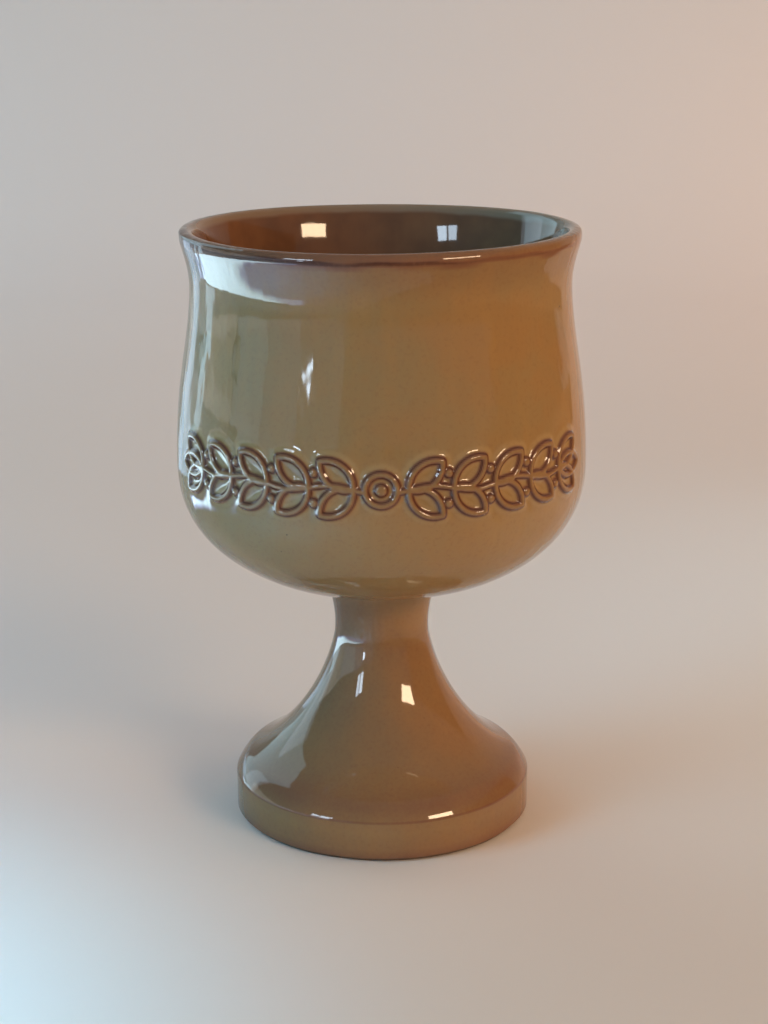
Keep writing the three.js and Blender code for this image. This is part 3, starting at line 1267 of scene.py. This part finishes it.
@dataclass
class GlazeCoats:
    """Lining of the bowl and outer coat, with the raised spray."""

    form: ChaliceForm
    finish: HandFinish
    spray: LaurelSpray
    turn: float = math.radians(6.5)
    finest: float = 0.22
    widest: float = 2.2
    inner_turn: float = math.radians(12.0)
    inner_finest: float = 0.6
    inner_widest: float = 6.0
    lining_columns: int = 180
    spray_spacing: float = 0.32
    plain_spacing: float = 3.0
    spacing_blend: float = 6.0
    azimuth_samples: int = 2001
    spray_margin: float = 2.0
    stroke_top: float = 0.24
    stroke_rim: float = 0.9
    rim_zone: Hump = Hump(0.05, 0.36)
    beside_strokes: Hump = Hump(1.1, 0.7)
    low_belly: Hump = Hump(76.0, 21.0)
    low_belly_share: float = 0.75

    def lining(self) -> TurnedPiece:
        """Return the lining: its glossy face, and its back against the clay."""
        face = self.form.lining().spaced(self.turn, self.finest, self.widest)
        back = self.form.lining().spaced(self.inner_turn, self.inner_finest, self.inner_widest).reversed()
        profile = np.vstack([face.points, back.sunk(self.form.glaze)])
        profile[[0, -1], 0] = 0.0
        azimuth = even_turn(self.lining_columns)
        radius, height = turned(profile, azimuth)
        return TurnedPiece("lining", "liner_glaze", Slot.LINING, radius, height, azimuth, looped=False)

    def fine_spacing(self, distance: Array, coarse: float) -> Array:
        """Return the spray's spacing within zero distance of it, growing to a coarse one beside it."""
        blend = smoothstep(0.0, self.spacing_blend, distance)
        return self.spray_spacing + (coarse - self.spray_spacing) * blend

    def outside(self) -> Run:
        """Return the whole outside, with points close together across the spray."""
        whole = self.form.outside()
        aside = np.abs(whole.points[:, 1] - self.spray.centre_height) - self.spray.half_height
        return whole.spaced(self.turn, self.finest, self.widest, self.fine_spacing(aside, self.widest))

    def azimuths(self) -> Array:
        """Return azimuths round the axis, close together across the spray."""
        around = np.linspace(-math.pi, math.pi, self.azimuth_samples)
        aside = np.abs(around) * self.spray.map_radius - self.spray.half_reach
        spacing = self.fine_spacing(aside, self.plain_spacing) / self.spray.map_radius
        return spread(around, spacing)[:-1]

    def coat(self) -> TurnedPiece:
        """Return the outer coat: its face with the raised spray, and its back, joined at the lip and at its
        lower edge.
        """
        run = self.outside()
        azimuth = self.azimuths()
        u = self.spray.map_radius * azimuth[None, :]
        v = run.points[:, 1:] - self.spray.centre_height
        distance = self.spray.distance(u, v)
        on_bowl = smoothstep(-self.spray.half_height - self.spray_margin, -self.spray.half_height, v)
        raised = on_bowl * smoothstep(self.spray.edge, -self.spray.edge, distance)
        swollen = on_bowl * bell(np.maximum(distance, 0.0), 0.0, self.spray.swell_reach)
        lift = self.spray.height * raised + self.spray.swell * swollen
        radius = run.points[:, :1] + lift * run.normals[:, :1]
        height = run.points[:, 1:] + lift * run.normals[:, 1:]
        back = self.form.outside().spaced(self.inner_turn, self.inner_finest, self.inner_widest).reversed()
        back_radius, back_height = turned(back.sunk(self.form.glaze), azimuth)
        rims = self.stroke_rim * self.rim_zone.at(distance)
        strokes = on_bowl * np.maximum(self.stroke_top * raised, rims)
        # thin glaze at the lip, the corner and the strokes, with painted shade on the stem, the neck, the
        # foot's slope and its base
        thinned = np.maximum(GlazeThinningAndShade(self.form.crest_height).over(run, azimuth[None, :]), strokes)
        low_belly = self.low_belly_share * self.low_belly.at(run.points[:, 1:])
        pooled = np.maximum(on_bowl * self.beside_strokes.at(distance), low_belly)
        unmarked = np.zeros(back_radius.shape)
        marks = {"thinned": np.vstack([thinned, unmarked]), "pooled": np.vstack([pooled, unmarked])}
        return TurnedPiece(
            "outer_coat",
            "outer_glaze",
            Slot.COAT,
            np.vstack([radius, back_radius]),
            np.vstack([height, back_height]),
            azimuth,
            looped=True,
            marks=marks,
        )

    def build(self) -> None:
        """Build and dress both coats."""
        self.lining().build(self.finish).data.materials.append(LiningGlaze().material())
        self.coat().build(self.finish).data.materials.append(CoatGlaze().material())


class Shows(Enum):
    """Whether a lamp lights surfaces, and whether it is seen in their gloss."""

    FULLY = (True, True)
    AS_LIGHT = (True, False)
    IN_GLOSS = (False, True)


@dataclass(frozen=True)
class SoftBox:
    """Flat lamp at an azimuth from the front towards the right and an elevation, facing the bowl."""

    name: str
    azimuth: float
    elevation: float
    distance: float
    width: float
    height: float
    colour: Colour
    watts: float
    shows: Shows = Shows.FULLY
    roll: float = 0.0

    def build(self, aim: Vector) -> None:
        """Add the lamp, turned towards the aim and rolled by an angle that raises its end on the right."""
        lamp = bpy.data.lights.new(self.name, "AREA")
        lamp.shape = "RECTANGLE"
        lamp.size = self.width
        lamp.size_y = self.height
        lamp.color = self.colour
        lamp.energy = self.watts
        holder = bpy.data.objects.new(self.name, lamp)
        holder.visible_diffuse, holder.visible_glossy = self.shows.value
        holder.visible_camera = False
        turn = math.radians(self.azimuth)
        rise = math.radians(self.elevation)
        away = Vector((math.cos(rise) * math.sin(turn), -math.cos(rise) * math.cos(turn), math.sin(rise)))
        holder.location = aim + self.distance * away
        rolled = Quaternion((0.0, 0.0, 1.0), math.radians(self.roll))
        holder.rotation_euler = (away.to_track_quat("Z", "Y") @ rolled).to_euler()
        bpy.context.scene.collection.objects.link(holder)


@dataclass(frozen=True)
class LightTable(SoftBox):
    """Flat lamp that lies beside the chalice and shines upward, with its height away from the axis."""

    tilt: float = 5.0
    lift: float = 0.003

    def build(self, aim: Vector) -> None:
        """Add the lamp, then lay it down with its near edge just above the floor and its far edge raised."""
        super().build(aim)
        tilt = math.radians(self.tilt)
        holder = bpy.data.objects[self.name]
        holder.location.z = self.lift + 0.5 * self.height * math.sin(tilt)
        holder.rotation_euler = (math.pi - tilt, 0.0, math.radians(self.azimuth))


@dataclass(frozen=True)
class Pool:
    """Lamp straight above the floor that lights a soft round pool, at an azimuth and a distance."""

    name: str
    azimuth: float
    distance: float
    radius: float
    colour: Colour
    watts: float
    height: float = 1.0
    size: float = 0.06

    def build(self) -> None:
        """Add the lamp, with a cone that fades from its middle to its edge."""
        lamp = bpy.data.lights.new(self.name, "SPOT")
        lamp.spot_size = 2.0 * math.atan(self.radius / self.height)
        lamp.spot_blend = 1.0
        lamp.shadow_soft_size = self.size
        lamp.color = self.colour
        lamp.energy = self.watts
        holder = bpy.data.objects.new(self.name, lamp)
        holder.visible_glossy = False
        turn = math.radians(self.azimuth)
        holder.location = (self.distance * math.sin(turn), -self.distance * math.cos(turn), self.height)
        bpy.context.scene.collection.objects.link(holder)


@dataclass(frozen=True)
class FloorFill(Pool):
    """Lamp that leans in from the front left and lifts the shade on the floor there, and on nothing else."""

    bearing: float = -60.0

    def build(self) -> None:
        """Add the lamp, then move it as far towards its bearing as it is high, and link it to the floor."""
        super().build()
        holder = bpy.data.objects[self.name]
        turn = math.radians(self.bearing)
        away = Vector((math.sin(turn), -math.cos(turn), 1.0))
        holder.location += self.height * Vector((away.x, away.y, 0.0))
        holder.rotation_euler = away.to_track_quat("Z", "Y").to_euler()
        lit = bpy.data.collections.new(self.name)
        lit.objects.link(bpy.data.objects[SWEEP])
        holder.light_linking.receiver_collection = lit


@dataclass(frozen=True)
class Flag:
    """Dull card beside the chalice that only gloss shows, at an azimuth from the front towards the right."""

    name: str
    azimuth: float
    distance: float
    depth: float
    half_width: float
    tilt: float = 0.0
    lift: float = 0.002
    colour: Colour = (0.03, 0.028, 0.026)

    def build(self) -> None:
        """Build the card: a rectangle from its near edge outward along the azimuth, raised by the tilt."""
        turn = math.radians(self.azimuth)
        tilt = math.radians(self.tilt)
        away = np.array([math.sin(turn), -math.cos(turn), 0.0])
        across = self.half_width * np.array([math.cos(turn), math.sin(turn), 0.0])
        near = self.distance * away + np.array([0.0, 0.0, self.lift])
        far = near + self.depth * (math.cos(tilt) * away + math.sin(tilt) * np.array([0.0, 0.0, 1.0]))
        points = np.stack([near - across, far - across, far + across, near + across])
        mesh = bpy.data.meshes.new(self.name)
        mesh.from_pydata(points.tolist(), [], [(0, 1, 2, 3)])
        mesh.materials.append(self.material())
        card = bpy.data.objects.new(self.name, mesh)
        card.visible_camera = False
        card.visible_diffuse = False
        card.visible_shadow = False
        bpy.context.scene.collection.objects.link(card)
        card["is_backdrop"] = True

    def material(self) -> bpy.types.Material:
        """Build the material: dull felt."""
        g = Graph(self.name + "_felt")
        g.set(Base_Color=(*self.colour, 1.0), Roughness=1.0)
        return g.material


@dataclass(frozen=True)
class Glow(Flag):
    """Shine of a lit table top that only gloss shows: a ring, bright on the left, which fades frontward.

    Azimuths run from the front towards the left, in degrees, and distances from the axis in millimetres.
    """

    colour: Colour = (0.62, 0.87, 1.0)
    faint: Colour = (0.42, 0.52, 1.0)
    far: Colour = (0.42, 0.44, 0.48)
    strength: float = 10.0
    near_edge: float = 215.0
    ring_start: float = 345.0
    ring_full: float = 385.0
    ring_end: float = 475.0
    ring_edge: float = 3.0
    near_fade: float = 20.0
    ragged: Texture = Texture(110.0)
    ragged_reach: float = 90.0
    ring_turn: Step = Step(42.0, 49.0)
    ring_bright: Step = Step(50.0, 92.0)
    ring_least: float = 0.4
    slant: float = 0.2
    slant_radius: float = 330.0
    broad_turn: Step = Step(60.0, 96.0)
    dim_turn: Step = Step(20.0, 80.0)
    dim_share: float = 0.2
    beyond: tuple[tuple[float, Step], ...] = (
        (0.03, Step(20.0, 50.0)),
        (0.03, Step(62.0, 72.0)),
        (0.06, Step(86.0, 96.0)),
    )
    back_turn: Step = Step(105.0, 125.0)
    back_loss: float = 0.3
    end_turn: Step = Step(126.0, 130.0)
    colour_from: Step = Step(0.1, 0.8)

    def material(self) -> bpy.types.Material:
        """Build the material: light that depends on azimuth and on distance from the axis."""
        g = Graph(self.name + "_shine")
        place = g.place()
        x = g.add("ShaderNodeSeparateXYZ", {}, {0: place}, "X")
        y = g.add("ShaderNodeSeparateXYZ", {}, {0: place}, "Y")
        turn = g.math("ARCTAN2", x, -1.0 * y) * -math.degrees(1.0)
        radius = g.radius()
        ragged = radius + self.ragged_reach * (g.noise(self.ragged) - 0.5)
        inside = 1.0 - ragged.above(self.ring_end - self.ring_edge, self.ring_end + self.ring_edge)
        ring = radius.above(self.ring_start, self.ring_full) * turn.above(*self.ring_turn)
        ring = ring * (self.ring_least + (1.0 - self.ring_least) * turn.above(*self.ring_bright))
        slanted = turn + self.slant * (radius - self.slant_radius)
        dim = self.dim_share * turn.above(*self.dim_turn)
        broad = g.math("MAXIMUM", slanted.above(*self.broad_turn), dim)
        broad = broad * radius.above(self.near_edge - self.near_fade, self.near_edge + self.near_fade)
        near = g.math("MAXIMUM", ring, broad) * (1.0 - self.back_loss * turn.above(*self.back_turn))
        near = near * (1.0 - turn.above(*self.end_turn))
        beyond = sum(amount * turn.above(*step) for amount, step in self.beyond)
        share = inside * near + (1.0 - inside) * beyond
        g.set(Base_Color=(0.0, 0.0, 0.0, 1.0), Roughness=1.0, Specular_IOR_Level=0.0)
        shaded_front_colour = g.blend(share.above(*self.colour_from), self.faint, self.colour)
        g.set(Emission_Color=g.blend(inside, self.far, shaded_front_colour))
        g.set(Emission_Strength=self.strength)
        g.set(Alpha=share)
        return g.material


@dataclass
class Studio:
    """Pale sweep with painted shade on the front of its floor, soft lamps, dim surroundings and the camera.
    """

    # front of the floor: painted shade, darker and warmer than the rest
    shaded_front_colour: Colour = (0.605, 0.52, 0.475)
    floor_colour: Colour = (0.64, 0.565, 0.535)
    backdrop_colour: Colour = (0.79, 0.76, 0.785)
    sweep_front: float = -2.0
    sweep_back: float = 0.8
    sweep_bend: float = 0.7
    sweep_top: float = 2.2
    sweep_half_width: float = 3.0
    bend_samples: int = 33
    blotches: Texture = Texture(260.0, 2.0)
    blotch_depth: float = 0.1
    floor_from: Step = Step(-0.06, 0.12)
    backdrop_from: Step = Step(0.1, 1.3)
    paper_roughness: float = 0.9
    surroundings: Colour = (0.14, 0.18, 0.18)
    aim: tuple[float, float, float] = (0.0, 0.0, 0.085)
    camera_place: tuple[float, float, float] = (0.0005, -0.469, 0.210)
    camera_pitch: float = 15.72
    camera_lens: float = 68.24
    camera_nearest: float = 0.02
    lamps: tuple[SoftBox, ...] = (
        SoftBox("window_side", -132.0, 22.0, 1.35, 0.83, 1.25, (0.55, 0.85, 1.0), 4.6),
        SoftBox("window_slit", -121.5, 13.5, 1.3, 0.48, 0.68, (0.68, 0.82, 1.0), 0.98, Shows.IN_GLOSS),
        SoftBox("wall_left", -103.2, 3.5, 1.25, 0.61, 0.3, (1.0, 0.94, 0.86), 0.55, Shows.IN_GLOSS),
        SoftBox("wall_middle", -77.5, 3.5, 1.25, 0.47, 0.3, (0.68, 0.85, 1.0), 0.53, Shows.IN_GLOSS),
        SoftBox("wall_front", -56.0, 3.5, 1.25, 0.47, 0.3, (0.7, 0.8, 1.0), 0.35, Shows.IN_GLOSS),
        SoftBox("wall_near", -33.0, 3.5, 1.25, 0.53, 0.3, (0.75, 0.75, 0.9), 0.2, Shows.IN_GLOSS),
        SoftBox("window_pane_a", -51.0, 20.0, 5.0, 0.55, 0.83, COOL, 18.0, Shows.IN_GLOSS),
        SoftBox("window_pane_b", -43.0, 20.0, 5.0, 0.55, 0.83, COOL, 22.0, Shows.IN_GLOSS),
        SoftBox("window_gleam", -42.5, 6.7, 1.45, 0.12, 0.095, COOL, 0.85, Shows.IN_GLOSS),
        SoftBox("warm_front", 48.5, 24.7, 2.4, 0.8, 0.35, (1.0, 0.72, 0.46), 22.4, roll=-6.4),
        LightTable("table_back", -138.0, 0.0, 0.7, 0.15, 0.7, (0.45, 0.72, 1.0), 0.4, Shows.IN_GLOSS),
        LightTable("table_far", -119.3, 0.0, 0.9, 0.12, 0.8, (0.57, 0.83, 1.0), 0.66, Shows.IN_GLOSS),
        SoftBox("wash_left", -70.0, 30.0, 1.1, 0.5, 0.5, (0.3, 0.71, 1.0), 4.6, Shows.AS_LIGHT),
        SoftBox("fill_left", -62.0, 14.0, 0.75, 0.35, 0.25, (0.15, 0.6, 1.0), 1.6, Shows.AS_LIGHT),
        SoftBox("fill_front", 40.0, 6.0, 0.8, 0.5, 0.14, (1.0, 0.66, 0.34), 1.6, Shows.AS_LIGHT),
        SoftBox("fill_right", 95.0, 25.0, 1.3, 0.8, 0.8, (1.0, 0.57, 0.25), 5.1, Shows.AS_LIGHT),
        SoftBox("fill_behind", 140.0, 30.0, 1.3, 0.8, 0.8, (1.0, 0.46, 0.2), 3.2, Shows.AS_LIGHT),
        SoftBox("fill_over", 20.0, 82.0, 1.6, 1.4, 1.0, (0.97, 0.95, 0.8), 2.5, Shows.AS_LIGHT),
    )
    pools: tuple[Pool, ...] = (
        Pool("pool_left", -50.0, 0.225, 0.16, (0.28, 0.68, 1.0), 80.0),
        Pool("pool_side", -99.0, 0.304, 0.3, (0.8, 0.85, 1.0), 6.0),
        Pool("pool_right", 121.0, 0.233, 0.25, (0.4, 0.75, 0.9), 8.0),
        FloorFill("pool_shade", -72.0, 0.044, 0.05, (1.0, 0.45, 0.08), 4.6, 0.6),
    )
    cards: tuple[Flag, ...] = (
        Flag("flag_front", 42.0, 0.543, 2.0, 2.0),
        Flag("flag_right", 93.0, 1.2, 0.6, 0.65, 90.0),
        Flag("flag_behind", -165.0, 0.4, 0.9, 0.22, 0.0, 0.004, (0.72, 0.67, 0.68)),
        Flag("flag_dim", 55.0, 0.2, 1.6, 1.2, 0.0, 0.001, (0.24, 0.17, 0.11)),
        Glow("glow_left", -90.0, 0.06, 2.6, 1.9, 0.0, 0.003),
    )

    def sweep(self) -> None:
        """Build the floor and backdrop: a level line, a quarter turn and an upright line, carried along X."""
        angle = np.linspace(0.0, math.pi / 2.0, self.bend_samples)
        bend_y = self.sweep_back + self.sweep_bend * np.sin(angle)
        bend_z = self.sweep_bend * (1.0 - np.cos(angle))
        y = np.concatenate([[self.sweep_front], bend_y, [self.sweep_back + self.sweep_bend]])
        z = np.concatenate([[0.0], bend_z, [self.sweep_top]])
        x = np.array([-self.sweep_half_width, self.sweep_half_width])
        points = np.stack(np.broadcast_arrays(x[None, :], y[:, None], z[:, None]), axis=-1).reshape(-1, 3)
        row = np.arange(len(y) - 1) * 2
        faces = np.column_stack([row, row + 1, row + 3, row + 2])
        mesh = bpy.data.meshes.new(SWEEP)
        mesh.from_pydata(points.tolist(), [], faces.tolist())
        mesh.shade_smooth()
        g = Graph("sweep_paper")
        depth = g.add("ShaderNodeSeparateXYZ", {}, {0: g.place()}, "Y")
        depth = depth + self.blotch_depth * g.noise(self.blotches)
        # painted shade: the floor is darker and warmer in front of the chalice
        floor = g.blend(depth.above(*self.floor_from), self.shaded_front_colour, self.floor_colour)
        g.set(Base_Color=g.blend(depth.above(*self.backdrop_from), floor, self.backdrop_colour))
        g.set(Roughness=self.paper_roughness)
        g.set(Specular_IOR_Level=0.0)
        mesh.materials.append(g.material)
        sweep = bpy.data.objects.new(SWEEP, mesh)
        bpy.context.scene.collection.objects.link(sweep)
        sweep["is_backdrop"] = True

    def world(self) -> None:
        """Set the dim light from all round."""
        world = bpy.data.worlds.new("surroundings")
        world.use_nodes = True
        background = world.node_tree.nodes["Background"]
        background.inputs["Color"].default_value = (*self.surroundings, 1.0)
        background.inputs["Strength"].default_value = 1.0
        bpy.context.scene.world = world

    def camera(self) -> None:
        """Add the camera, level from side to side and pitched down at the chalice."""
        data = bpy.data.cameras.new("camera")
        data.lens = self.camera_lens
        data.clip_start = self.camera_nearest
        camera = bpy.data.objects.new("camera", data)
        camera.location = self.camera_place
        camera.rotation_euler = (math.radians(90.0 - self.camera_pitch), 0.0, 0.0)
        bpy.context.scene.collection.objects.link(camera)
        bpy.context.scene.camera = camera

    def build(self) -> None:
        """Build the whole studio."""
        self.sweep()
        for card in self.cards:
            card.build()
        self.world()
        for lamp in self.lamps:
            lamp.build(Vector(self.aim))
        for pool in self.pools:
            pool.build()
        self.camera()
        bpy.context.scene.view_settings.view_transform = "Standard"


def corners(box: tuple[Vector, Vector]) -> list[list[float]]:
    """Return a box as plain lists of numbers."""
    return [list(corner) for corner in box]


def main() -> None:
    """Build the studio, the clay and the glaze."""
    logging.basicConfig(level=logging.INFO)
    Studio().build()
    form = ChaliceForm.from_frame()
    finish = HandFinish(form.rim_radius, form.crest_height)
    ClayBody(form, finish).build()
    GlazeCoats(form, finish, LaurelSpray()).build()
    bpy.context.view_layer.update()
    {"cad": corners(CAD_BOX), "visual": corners(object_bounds())}


if __name__ == "__main__":
    main()
